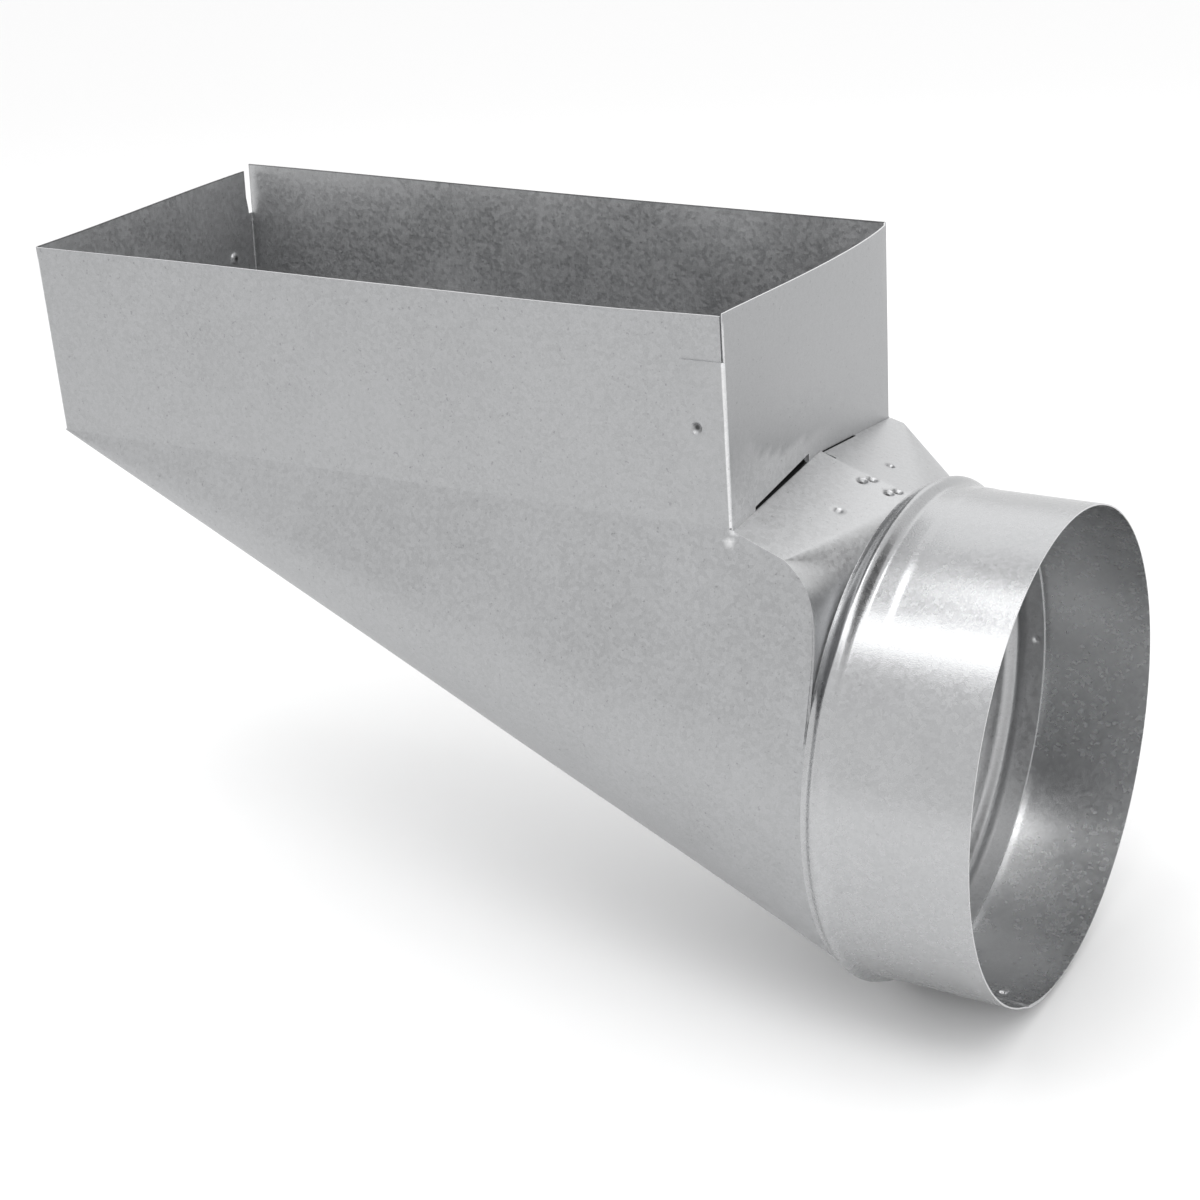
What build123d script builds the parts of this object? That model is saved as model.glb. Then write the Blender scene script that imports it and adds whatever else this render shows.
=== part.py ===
from build123d import *
import math
import os

os.makedirs("parts", exist_ok=True)

# Register boot: an open rectangular throat above a trough that runs into a round collar.
# Sizes are millimetres. The origin is the centre of the register opening, at its rim.
# +Z leaves the opening, +X leaves the round collar, the front panel faces -Y.

# Sheet, and the inside radius of its folds
sheet = 0.5
fold_radius = 0.5

# Rectangular throat, outside sizes
opening_length = 260.0
opening_width = 108.0
wall_height = 64.0

# Rise of the rim towards the open back-left corner, on the back panel and on the far end wall
back_rise = 4.0
far_end_rise = 2.0

# Round collar, sized for the duct that slides into it
duct_diameter = 152.4
collar_length = 51.0
collar_seam_width = 15.0
collar_seam_angle = 253.0

# Bead rolled round the collar and the neck inside it, drawn with flats across its crown
bead_height = 2.6
bead_width = 8.0
bead_margin = 1.0
bead_flats = 5

# Neck of the folded body, which slides inside the collar where the collar is swelled to take it
neck_length = 15.0
neck_swell = 0.2
neck_swell_run = 2.0
neck_clearance = 0.05
neck_lead = 0.5

# Saddle between the end wall and the collar
saddle_length = 30.0
saddle_fall = 4.1
saddle_crown = 5.6
saddle_lap_y = 3.0
saddle_lap_width = 29.0
saddle_lap_step = 0.4
front_hip_length = 18.0
back_hip_length = 5.0

# Tab folded out from the foot of the end wall under the saddle
wall_tab_width = 24.0
wall_tab_length = 22.0
wall_tab_gap = 0.4

# Open slot between the end wall and the front half of the saddle
slot_start_y = -40.0
slot_end_y = -5.0
slot_rise = 1.3
relief_length = 5.0
relief_width = 0.8

# Corner flanges, and the slits beside the plain edges that they cover
flange_width = 16.0
flange_notch = 14.0
flange_foot = 1.0
flange_chamfer = 2.0
front_slit = 0.5
back_slit_top = 2.0
back_slit_foot = 0.9

# Tab folded up from the trough against the far end wall
trough_tab_height = 12.0
trough_tab_margin = 3.0

# Press-clinched joints, drawn with flats round their sides
clinch_side_count = 12
clinch_diameter = 5.0
clinch_height = 0.9
clinch_recess = 3.4
clinch_floor = 0.4
corner_clinch_inset = 10.0
corner_clinch_rise = 30.0
saddle_clinch_x = 17.0
saddle_clinch_spread = 18.0
saddle_end_clinch_x = 26.0
neck_clinch_diameter = 3.6
neck_clinch_wall = 0.3
neck_clinch_setback = 2.6
neck_clinch_angle = 0.0
seam_clinch_setback = 11.0
trough_tab_clinch_count = 2

# Places worked out from the sizes
right_x = opening_length / 2
left_x = -right_x
side_y = opening_width / 2
crease_z = -wall_height
collar_radius = duct_diameter / 2 + sheet
socket_radius = collar_radius + neck_swell
neck_radius = socket_radius - sheet - neck_clearance
axis_z = crease_z - saddle_fall - collar_radius
collar_start = right_x + saddle_length
collar_end = collar_start + collar_length
ring_x = collar_start - neck_lead
neck_end = collar_start + neck_length
bead_x = collar_start + bead_margin + bead_width / 2
bead_radius = (bead_width ** 2 / 4 + bead_height ** 2) / (2 * bead_height)
collar_axis = Axis((0, 0, axis_z), (1, 0, 0))
fold_outside = fold_radius + sheet
flange_low = crease_z + flange_foot
flange_high = -flange_notch

# Modelling values: how far cutters run past a face, the closeness of searched places, and the
# largest turn that one patch of a bent corner takes
overshoot = 1.0
closeness = 1e-3
halvings = 50
patch_turn = math.radians(30)


def block(low, high):
    """A box between two opposite corners."""
    size = [b - a for a, b in zip(low, high)]
    centre = [(a + b) / 2 for a, b in zip(low, high)]
    return Pos(*centre) * Box(*size)


# Transition from the rectangular throat to the ring where the neck starts

def ring_point(angle, inset):
    radius = neck_radius - inset
    return Vector(ring_x, radius * math.cos(angle), axis_z + radius * math.sin(angle))


def tangent_angle(first, second, low, high, inset):
    """Angle on the ring, found by halving, where the plane through two points just touches it."""
    def side(angle):
        point = ring_point(angle, inset)
        tangent = Vector(0, -math.sin(angle), math.cos(angle))
        return (first - point).cross(second - point).dot(tangent)

    for _ in range(halvings):
        middle = (low + high) / 2
        if side(low) * side(middle) <= 0:
            high = middle
        else:
            low = middle
    return (low + high) / 2


def polygon(*corners):
    return Face(Wire.make_polygon(corners, close=True))


def ring_arc(start, end, inset):
    middle = (start + end) / 2
    return Edge.make_three_point_arc(*[ring_point(angle, inset) for angle in (start, middle, end)])


def split_turn(apex, start, end):
    """A bent corner's turn in even patches, each an apex with two angles on the ring."""
    count = math.ceil((end - start) / patch_turn)
    turns = [start + (end - start) * index / count for index in range(count + 1)]
    return [(apex, low, high) for low, high in zip(turns, turns[1:])]


def cone_face(apex, start, end, inset):
    """A patch of a bent corner of the sheet: a cone from a point to an arc of the ring."""
    arc = ring_arc(start, end, inset)
    chord = Edge.make_line(arc @ 1, arc @ 0)
    wedge = Solid.make_loft([Vertex(*apex), Wire([arc, chord])], ruled=True)
    sides = [face for face in wedge.faces() if face.center().X < ring_x - closeness]
    return min(sides, key=lambda face: face.distance_to(arc @ 0.5))


def transition(inset, top_z):
    """The closed volume inside the sheet's outer skin, or inside a skin laid below it by the inset."""
    # Slopes of the trough and of the saddle set how far each corner moves with the inset
    trough_slope = (axis_z - neck_radius - crease_z) / (ring_x - left_x)
    trough_shift = math.sqrt(1 + trough_slope ** 2) + trough_slope
    saddle_run = saddle_lap_y + side_y
    across_slope = saddle_crown / saddle_run
    along_slope = (axis_z + neck_radius - crease_z - saddle_crown) / (ring_x - right_x)
    saddle_shift = -along_slope - math.sqrt(1 + across_slope ** 2 + along_slope ** 2)
    far_z = crease_z + trough_shift * inset
    near_z = crease_z + (saddle_shift + across_slope) * inset
    ridge_z = crease_z + saddle_crown + saddle_shift * inset
    left, right, side = left_x + inset, right_x - inset, side_y - inset

    a, b = Vector(left, -side, far_z), Vector(left, side, far_z)
    c, d = Vector(right, side, near_z), Vector(right, -side, near_z)
    a_top, b_top, c_top, d_top = [Vector(p.X, p.Y, top_z) for p in (a, b, c, d)]
    ridge = Vector(right, saddle_lap_y, ridge_z)
    ridge_step = Vector(right, saddle_lap_y, ridge_z - saddle_lap_step)

    # Angles where the flat faces touch the ring
    outward = math.atan2(d.Z - axis_z, d.Y)
    front = tangent_angle(a, d, outward, outward + math.pi / 2, inset)
    back = math.pi - front
    top, bottom = math.pi / 2, math.pi * 1.5
    saddle_front = top + math.atan2(ridge.Z - d.Z, ridge.Y - d.Y)
    saddle_back = top - math.atan2(ridge_step.Z - c.Z, c.Y - ridge_step.Y)
    front_touch, back_touch = ring_point(front, inset), ring_point(back, inset)
    top_touch, bottom_touch = ring_point(top, inset), ring_point(bottom, inset)
    saddle_front_touch = ring_point(saddle_front, inset)
    saddle_back_touch = ring_point(saddle_back, inset)

    def hip_end(length, corner, wall_corner, wall_touch, saddle_corner, saddle_touch):
        """End of the straight crease that starts at a corner, where its cone begins."""
        wall_normal = (wall_corner - corner).cross(wall_touch - corner)
        saddle_normal = (saddle_corner - corner).cross(saddle_touch - corner)
        crease = wall_normal.cross(saddle_normal).normalized()
        crease = crease * math.copysign(length, crease.X)
        return corner + crease

    front_hip = hip_end(front_hip_length, d, a, front_touch, ridge, saddle_front_touch)
    back_hip = hip_end(back_hip_length, c, b, back_touch, ridge_step, saddle_back_touch)

    flats = [
        (a_top, b_top, c_top, d_top),
        (a_top, b_top, b, a),
        (a_top, d_top, d, a),
        (b_top, c_top, c, b),
        (d_top, c_top, c, ridge_step, ridge, d),
        (a, d, front_hip, front_touch),
        (b, c, back_hip, back_touch),
        (a, b, bottom_touch),
        (d, ridge, saddle_front_touch, front_hip),
        (c, ridge_step, saddle_back_touch, back_hip),
        (ridge, ridge_step, top_touch),
    ]
    cones = [
        (a, front, bottom),
        (b, bottom, back + 2 * math.pi),
        (front_hip, saddle_front, front),
        (back_hip, back, saddle_back),
        (ridge, top, saddle_front),
        (ridge_step, saddle_back, top),
    ]
    patches = [patch for cone in cones for patch in split_turn(*cone)]
    faces = [polygon(*corners) for corners in flats]
    faces += [cone_face(apex, start, end, inset) for apex, start, end in patches]
    arcs = [ring_arc(start, end, inset) for _, start, end in patches]
    faces.append(Face(Wire(arcs)))
    return Solid(Shell(faces))


# Beaded tubes: the collar, its lap and the neck are layers of one nested section

def tube_section(depth, start, end):
    """Half section, down to the axis, of a beaded skin laid below the collar's outer skin."""
    radius = socket_radius - depth
    arc_radius = bead_radius - depth
    arc_centre = socket_radius + bead_height - bead_radius
    sweep = math.acos((radius - arc_centre) / arc_radius)
    turns = [sweep * (1 - 2 * index / bead_flats) for index in range(bead_flats + 1)]
    outline = [(start, radius), (start, 0), (end, 0)]
    if end > neck_end + neck_swell_run:
        outline += [(end, collar_radius - depth), (neck_end + neck_swell_run, collar_radius - depth)]
        outline.append((neck_end, radius))
    else:
        outline.append((end, radius))
    for turn in turns:
        outline.append((bead_x + arc_radius * math.sin(turn), arc_centre + arc_radius * math.cos(turn)))
    return Pos(0, 0, axis_z) * (Plane.XZ * make_face(Polyline(*outline, close=True)))


def tube_solid(depth, start, end, arc=360.0):
    return revolve(tube_section(depth, start, end), axis=collar_axis, revolution_arc=arc)


def round_place(radius, x, angle, facing=1):
    """Plane on a round skin, facing away from the axis, or towards it when facing is -1."""
    turn = math.radians(angle)
    outward = Vector(0, math.cos(turn), math.sin(turn))
    return Plane(Vector(x, 0, axis_z) + outward * radius, x_dir=(1, 0, 0), z_dir=outward * facing)


# Press-clinched joints

def punch(diameter, height):
    """The shape that presses a joint, standing on its small face."""
    return extrude(RegularPolygon(diameter / 2, clinch_side_count), amount=height)


def clinch(part, place):
    """Press a recess through two lapped sheets, leaving a button on their far side."""
    depth = 2 * sheet + clinch_height
    button = punch(clinch_diameter, clinch_height + sheet / 2)
    recess = punch(clinch_recess, depth - clinch_floor + overshoot)
    part = part + place * (Pos(0, 0, -depth) * button)
    return part - place * (Pos(0, 0, clinch_floor - depth) * recess)


def press_cup(part, place, face_depth, bottom_depth, diameter):
    """Press a cup into one sheet, for a joint between two parts that stay separate."""
    start_depth = face_depth + sheet / 2
    cup = punch(diameter, bottom_depth - start_depth)
    hollow = punch(diameter - 2 * neck_clinch_wall, bottom_depth + overshoot)
    part = part + place * (Pos(0, 0, -bottom_depth) * cup)
    return part - place * (Pos(0, 0, neck_clinch_wall - bottom_depth) * hollow)


neck_place = round_place(
    neck_radius - sheet, neck_end - neck_clinch_setback, neck_clinch_angle, facing=-1)
collar_cup_depth = 2 * sheet + neck_clearance + clinch_height
neck_cup_depth = collar_cup_depth - neck_clinch_wall - neck_clearance
neck_cup_diameter = neck_clinch_diameter - 2 * (neck_clinch_wall + neck_clearance)


# Folded body

def saddle_height(x, y):
    """Height of the saddle's outer skin: two halves that rise to the lap between them."""
    front_half = y <= saddle_lap_y
    peak = saddle_crown if front_half else saddle_crown - saddle_lap_step
    run = side_y + saddle_lap_y if front_half else side_y - saddle_lap_y
    at_wall = crease_z + peak * (1 - abs(y - saddle_lap_y) / run)
    along = (x - right_x) / (ring_x - right_x)
    return at_wall + (axis_z + neck_radius - at_wall) * along


def saddle_place(x, y):
    """Plane on the saddle's outer skin, facing away from the duct."""
    here, along, across = [
        Vector(px, py, saddle_height(px, py)) for px, py in ((x, y), (x + 1, y), (x, y - 1))]
    return Plane(here, x_dir=along - here, z_dir=(across - here).cross(along - here).normalized())


def round_fold(body, corner, inward, low, high):
    """Bend the sheet round an upright corner, given the sharp outer corner and the way in from it."""
    centre = [place + way * fold_outside for place, way in zip(corner, inward)]
    near = [min(pair) for pair in zip(corner, centre)]
    far = [max(pair) for pair in zip(corner, centre)]
    square = block((*near, low), (*far, high))
    middle = Pos(*centre, (low + high) / 2)
    bend = Cylinder(fold_outside, high - low) - Cylinder(fold_radius, high - low)
    return body - square + (middle * bend & square)


def make_body():
    skins = [transition(inset, top) for inset, top in ((0, 0), (sheet, overshoot), (2 * sheet, overshoot))]
    outside = skins[0] + tube_solid(sheet + neck_clearance, ring_x, neck_end)
    inside = skins[1] + tube_solid(2 * sheet + neck_clearance, ring_x, neck_end + overshoot)
    body = outside - inside

    # The back half of the saddle runs on under the front half
    second_layer = skins[1] - skins[2]
    under_lap = second_layer & block(
        (right_x + overshoot, saddle_lap_y - saddle_lap_width, axis_z),
        (ring_x - overshoot, saddle_lap_y + overshoot, 0))
    wall_tab = second_layer & block(
        (right_x - sheet, saddle_lap_y + overshoot, axis_z),
        (right_x + wall_tab_length, saddle_lap_y + overshoot + wall_tab_width, crease_z + saddle_crown))
    body = body + under_lap + wall_tab

    # Corner flanges: the near end wall laps the front panel, the back panel laps the far end wall
    front_flange = block(
        (right_x - flange_width, -side_y - sheet, flange_low), (right_x, -side_y, flange_high))
    clipped = front_flange.edges().filter_by(Axis.Y).sort_by(Axis.X)[:2]
    front_flange = chamfer(clipped, flange_chamfer)
    back_flange = block(
        (left_x - sheet, side_y - flange_width, flange_low), (left_x, side_y, flange_high))
    clipped = back_flange.edges().filter_by(Axis.X).sort_by(Axis.Y)[:2]
    back_flange = chamfer(clipped, flange_chamfer)
    trough_tab = block(
        (left_x - sheet, trough_tab_margin - side_y, crease_z),
        (left_x, side_y - flange_width - trough_tab_margin, crease_z + trough_tab_height))
    body = body + front_flange + back_flange + trough_tab

    # The plain edges stop short of the folds that cover them, down to just above the flanges' feet
    slit_low = flange_low + sheet
    body -= block(
        (right_x - sheet - front_slit, -side_y, slit_low), (right_x - sheet, sheet - side_y, overshoot))
    slit = Polyline(
        (side_y - sheet, overshoot), (side_y - sheet - back_slit_top, overshoot),
        (side_y - sheet - back_slit_foot, flange_high), (side_y - sheet - back_slit_foot, slit_low),
        (side_y - sheet, slit_low), close=True)
    body -= Pos(left_x, 0, 0) * extrude(Plane.YZ * make_face(slit), amount=sheet)

    # The rim rises towards the back-left corner, where the two walls aren't joined
    back_edge = Polyline((left_x, 0), (right_x - fold_outside, 0), (left_x, back_rise), close=True)
    far_edge = Polyline(
        (fold_outside - side_y, 0), (side_y - sheet - back_slit_top, 0),
        (side_y - sheet - back_slit_top, far_end_rise), close=True)
    body += Pos(0, side_y, 0) * extrude(Plane.XZ * make_face(back_edge), amount=sheet)
    body += Pos(left_x, 0, 0) * extrude(Plane.YZ * make_face(far_edge), amount=sheet)

    # Upright folds: two of the walls themselves, two of the flanges
    fold_foot = crease_z + fold_outside
    body = round_fold(body, (left_x, -side_y), (1, 1), fold_foot, 0)
    body = round_fold(body, (right_x, side_y), (-1, -1), fold_foot, 0)
    body = round_fold(body, (right_x, -side_y - sheet), (-1, 1), flange_low, flange_high)
    body = round_fold(body, (left_x - sheet, side_y), (1, -1), flange_low, flange_high)

    # Slot under the near end wall, over the front half of the saddle
    start_z, end_z = [saddle_height(right_x, y) for y in (slot_start_y, slot_end_y)]
    slot_foot = 2 * sheet + overshoot
    slot = Polyline(
        (slot_start_y, start_z - slot_foot), (slot_start_y, start_z), (slot_end_y, end_z + slot_rise),
        (slot_end_y, end_z - slot_foot), close=True)
    body -= Pos(right_x - sheet, 0, 0) * extrude(Plane.YZ * make_face(slot), amount=sheet)

    # Relief at the end of the lap, and the gap where the back half butts the end wall
    ridge_z = saddle_height(right_x, saddle_lap_y)
    body -= block(
        (right_x, saddle_lap_y, axis_z),
        (right_x + relief_length, saddle_lap_y + relief_width, ridge_z + overshoot))
    gap = block(
        (right_x, saddle_lap_y, crease_z),
        (right_x + wall_tab_gap, saddle_lap_y + wall_tab_width, ridge_z + overshoot))
    body -= gap & (skins[0] - skins[1])

    return body


def clinch_body(body):
    """The joints that hold the folded sheet in shape."""
    corner_z = crease_z + corner_clinch_rise
    front = Plane(
        (right_x - corner_clinch_inset, -side_y - sheet, corner_z), x_dir=(1, 0, 0), z_dir=(0, -1, 0))
    back = Plane(
        (left_x - sheet, side_y - corner_clinch_inset, corner_z), x_dir=(0, 1, 0), z_dir=(-1, 0, 0))
    places = [front, back]
    low_y, high_y = trough_tab_margin - side_y, side_y - flange_width - trough_tab_margin
    for index in range(trough_tab_clinch_count):
        y = low_y + (high_y - low_y) * (index + 0.5) / trough_tab_clinch_count
        places.append(Plane(
            (left_x - sheet, y, crease_z + trough_tab_height / 2), x_dir=(0, 1, 0), z_dir=(-1, 0, 0)))
    places += [saddle_place(right_x + saddle_clinch_x, side * saddle_clinch_spread) for side in (-1, 0, 1)]
    places.append(saddle_place(right_x + saddle_end_clinch_x, 0))
    for place in places:
        body = clinch(body, place)
    return press_cup(body, neck_place, 0, neck_cup_depth, neck_cup_diameter)


def make_collar():
    low_x, high_x = collar_start - overshoot, collar_end + overshoot
    collar = tube_solid(0, collar_start, collar_end) - tube_solid(sheet, low_x, high_x)

    # The strip's outer end laps over its start, clinched outward so that the bore stays clear
    seam_arc = math.degrees(collar_seam_width / collar_radius)
    lap = tube_solid(-sheet, collar_start, collar_end, seam_arc) - tube_solid(0, low_x, high_x)
    collar += lap.rotate(collar_axis, collar_seam_angle - 90 - seam_arc / 2)
    for x in (neck_end + seam_clinch_setback / 2, collar_end - seam_clinch_setback):
        collar = clinch(collar, round_place(duct_diameter / 2, x, collar_seam_angle, facing=-1))
    return press_cup(collar, neck_place, sheet + neck_clearance, collar_cup_depth, neck_clinch_diameter)


boot_body = clinch_body(make_body())
round_collar = make_collar()

for name, shape in {"boot_body": boot_body, "round_collar": round_collar}.items():
    export_step(shape, os.path.join("parts", name + ".step"))
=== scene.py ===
import math

import bmesh
import bpy
from mathutils import Matrix, Vector, noise


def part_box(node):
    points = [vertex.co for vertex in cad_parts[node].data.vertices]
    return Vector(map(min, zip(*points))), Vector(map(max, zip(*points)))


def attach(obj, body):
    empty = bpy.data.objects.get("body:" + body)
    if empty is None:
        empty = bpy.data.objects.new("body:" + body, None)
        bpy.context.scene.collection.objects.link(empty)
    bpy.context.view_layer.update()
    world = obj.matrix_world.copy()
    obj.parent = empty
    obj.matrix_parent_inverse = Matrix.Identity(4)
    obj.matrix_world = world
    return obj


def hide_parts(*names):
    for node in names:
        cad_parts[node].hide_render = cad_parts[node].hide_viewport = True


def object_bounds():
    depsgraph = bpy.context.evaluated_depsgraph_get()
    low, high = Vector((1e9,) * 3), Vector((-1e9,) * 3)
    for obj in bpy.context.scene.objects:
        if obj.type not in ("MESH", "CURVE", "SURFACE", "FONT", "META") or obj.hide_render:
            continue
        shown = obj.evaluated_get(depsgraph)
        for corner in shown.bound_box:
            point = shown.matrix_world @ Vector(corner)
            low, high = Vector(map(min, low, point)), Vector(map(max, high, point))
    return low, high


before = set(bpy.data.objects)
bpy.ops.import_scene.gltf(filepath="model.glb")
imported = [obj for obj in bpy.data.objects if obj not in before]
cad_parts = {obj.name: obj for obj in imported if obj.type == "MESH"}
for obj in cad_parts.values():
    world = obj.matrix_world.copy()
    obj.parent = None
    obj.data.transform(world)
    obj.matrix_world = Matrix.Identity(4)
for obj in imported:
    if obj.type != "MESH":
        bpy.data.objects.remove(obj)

bl_info = {
    "name": "Register Boot",
    "version": (1, 0, 0),
    "blender": (4, 5, 0),
    "location": "3D View > Sidebar > Register Boot",
    "description": "Builds a galvanised register boot: a folded body and a beaded round collar",
    "category": "Add Mesh",
}

cad_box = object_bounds()
collar_low, collar_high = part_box("round_collar")

MM = 0.001
SAME_PLACE = 1e-7
ALONG, ACROSS, UP = Vector((1, 0, 0)), Vector((0, 1, 0)), Vector((0, 0, 1))


# Sizes and finishes that a user may change

def length(name, description, default):
    return bpy.props.FloatProperty(
        name=name, description=description, default=default, unit="LENGTH", precision=5)


def angle(name, description, degrees):
    return bpy.props.FloatProperty(
        name=name, description=description, default=math.radians(degrees), subtype="ANGLE")


def share(name, description, default):
    return bpy.props.FloatProperty(
        name=name, description=description, default=default, min=0, max=1, subtype="FACTOR")


def colour(name, description, default):
    return bpy.props.FloatVectorProperty(
        name=name, description=description, default=default, size=4, min=0, max=1, subtype="COLOR")


class BodySizes(bpy.types.PropertyGroup):
    """Sizes of the folded body."""
    sheet: length("Sheet", "Thickness of the galvanised sheet", 0.5 * MM)
    fold: length("Fold", "Outside radius of the upright folds", 1.0 * MM)
    opening_length: length("Opening length", "Outside length of the register opening", 260 * MM)
    opening_width: length("Opening width", "Outside width of the register opening", 108 * MM)
    wall_height: length("Wall height", "Height of the walls above the trough", 64 * MM)
    back_rise: length("Back rise", "Rise of the back panel's rim at the open corner", 3.8 * MM)
    far_end_rise: length("Far end rise", "Rise of the far end wall's rim at its free edge", 2.0 * MM)
    front_dip: length("Front dip", "Dip of the front panel's rim beside the near corner", 1.3 * MM)
    end_bow: length("End bow", "How far the near end wall bows out at its rim", 3.8 * MM)
    back_spring: length("Back spring", "How far the open corner of the back panel springs out", 4.2 * MM)
    far_end_spring: length("Far end spring", "How far the far end wall's free edge moves with it", 2.4 * MM)
    flange_width: length("Flange width", "Width of the corner flanges", 16 * MM)
    flange_notch: length("Flange notch", "Depth of the notch above each corner flange", 14 * MM)
    flange_clip: length("Flange clip", "Clipped corners of the flanges", 2 * MM)
    saddle_crown: length("Saddle crown", "Height of the saddle's ridge at the end wall", 5.6 * MM)
    saddle_lap: length("Saddle lap", "Place of the lap across the saddle", 3 * MM)
    lap_step: length("Lap step", "Step between the two halves of the saddle", 0.4 * MM)
    front_hip: length("Front hip", "Length of the straight crease below the front near corner", 18 * MM)
    back_hip: length("Back hip", "Length of the straight crease below the back near corner", 5 * MM)
    hip_drop: length("Hip drop", "Fall of the front crease where it turns along the collar", 8.7 * MM)
    slot_start: length("Slot start", "Where the slot over the saddle starts", -40 * MM)
    slot_end: length("Slot end", "Where the slot over the saddle ends", -5 * MM)
    slot_rise: length("Slot rise", "Width of the slot at its open end", 2.5 * MM)
    waver: length("Waver", "How far the flat sheet wavers", 0.35 * MM)
    waver_run: length("Waver run", "Distance between wavers", 75 * MM)


class CollarSizes(bpy.types.PropertyGroup):
    """Sizes of the round collar and the neck inside it."""
    duct: length("Duct", "Diameter of the duct that the collar takes", 152.4 * MM)
    start: length("Start", "Where the collar starts along its axis", collar_low.x)
    end: length("End", "Where the collar ends along its axis", collar_high.x - 0.01 * MM)
    axis: length("Axis", "Height of the collar's axis below the rim", -144.8 * MM)
    swell: length("Swell", "Growth of the collar's radius over the neck", 0.2 * MM)
    clearance: length("Clearance", "Gap between the neck and the collar", 0.05 * MM)
    neck_length: length("Neck length", "How far the neck reaches into the collar", 15 * MM)
    neck_lead: length("Neck lead", "Length of the neck left bare before the collar", 0.5 * MM)
    bead_height: length("Bead height", "Height of the rolled bead", 2.45 * MM)
    bead_width: length("Bead width", "Width of the rolled bead", 8.4 * MM)
    bead_place: length("Bead place", "Distance from the collar's start to the bead's crest", 5 * MM)
    seam_width: length("Seam width", "Width of the lapped seam", 15 * MM)
    seam_angle: angle("Seam angle", "Place of the seam round the collar", 253)


class ClinchSizes(bpy.types.PropertyGroup):
    """Sizes of the press-clinched joints."""
    diameter: length("Diameter", "Width of the pressed mark", 3.8 * MM)
    depth: length("Depth", "Depth of the pressed mark", 1.1 * MM)
    neck_diameter: length("Neck diameter", "Width of the mark inside the neck", 3.2 * MM)
    neck_depth: length("Neck depth", "Depth of the mark inside the neck", 0.7 * MM)
    mesh_size: length("Mesh size", "Size of the faces round each mark", 0.4 * MM)


class ZincFinish(bpy.types.PropertyGroup):
    """Finish of the galvanised sheet."""
    body: colour("Body zinc", "Colour of the body's zinc", (0.415, 0.419, 0.426, 1))
    collar: colour("Collar zinc", "Colour of the collar's zinc", (0.455, 0.459, 0.466, 1))
    # The inner colours are lighter than the outer ones: painted light inside the boot and the collar
    body_inner_painted_light: colour("Body inner zinc, painted light", "Lighter colour of the body's inner side, painted light", (0.52, 0.524, 0.53, 1))
    collar_inner_painted_light: colour("Collar inner zinc, painted light", "Lighter colour of the collar's inner side, painted light", (0.74, 0.744, 0.75, 1))
    # Painted highlight, partly forming wear
    sheen_and_wear: colour("Sheen and wear zinc", "Colour of the painted highlight along the folds, over the saddle and at the end wall's foot, partly forming wear", (0.74, 0.744, 0.75, 1))
    # Painted shade in the marks, gaps and along the far rims
    painted_shade: colour("Painted_Shade", "Colour of the painted shade in the marks and gaps and along the far rims", (0.03, 0.03, 0.03, 1))
    edge: colour("Cut edge", "Colour of the sheet's cut edges", (0.66, 0.665, 0.67, 1))
    body_roughness: share("Body roughness", "Roughness of the body's zinc", 0.46)
    collar_roughness: share("Collar roughness", "Roughness of the collar's zinc", 0.25)
    edge_roughness: share("Edge roughness", "Roughness of the cut edges", 0.45)
    spangle: length("Spangle", "Size of the zinc's spangles", 1.2 * MM)
    grain: length("Grain", "Size of the zinc's finest grain", 0.35 * MM)


FOLD_SUPPORT = 0.3 * MM


# Places worked out from the sizes

def spread(low, high, step):
    """Even places from low to high, no further apart than the step."""
    count = max(1, math.ceil(abs(high - low) / step))
    return [low + (high - low) * index / count for index in range(count + 1)]


def flat_places(low, high, step):
    """Even places over a flat, with one more near each end so that the fold beside it stays narrow."""
    near = FOLD_SUPPORT if high > low else -FOLD_SUPPORT
    places = spread(low, high, step)
    return [places[0], places[0] + near, *places[1:-1], places[-1] - near, places[-1]]


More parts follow.
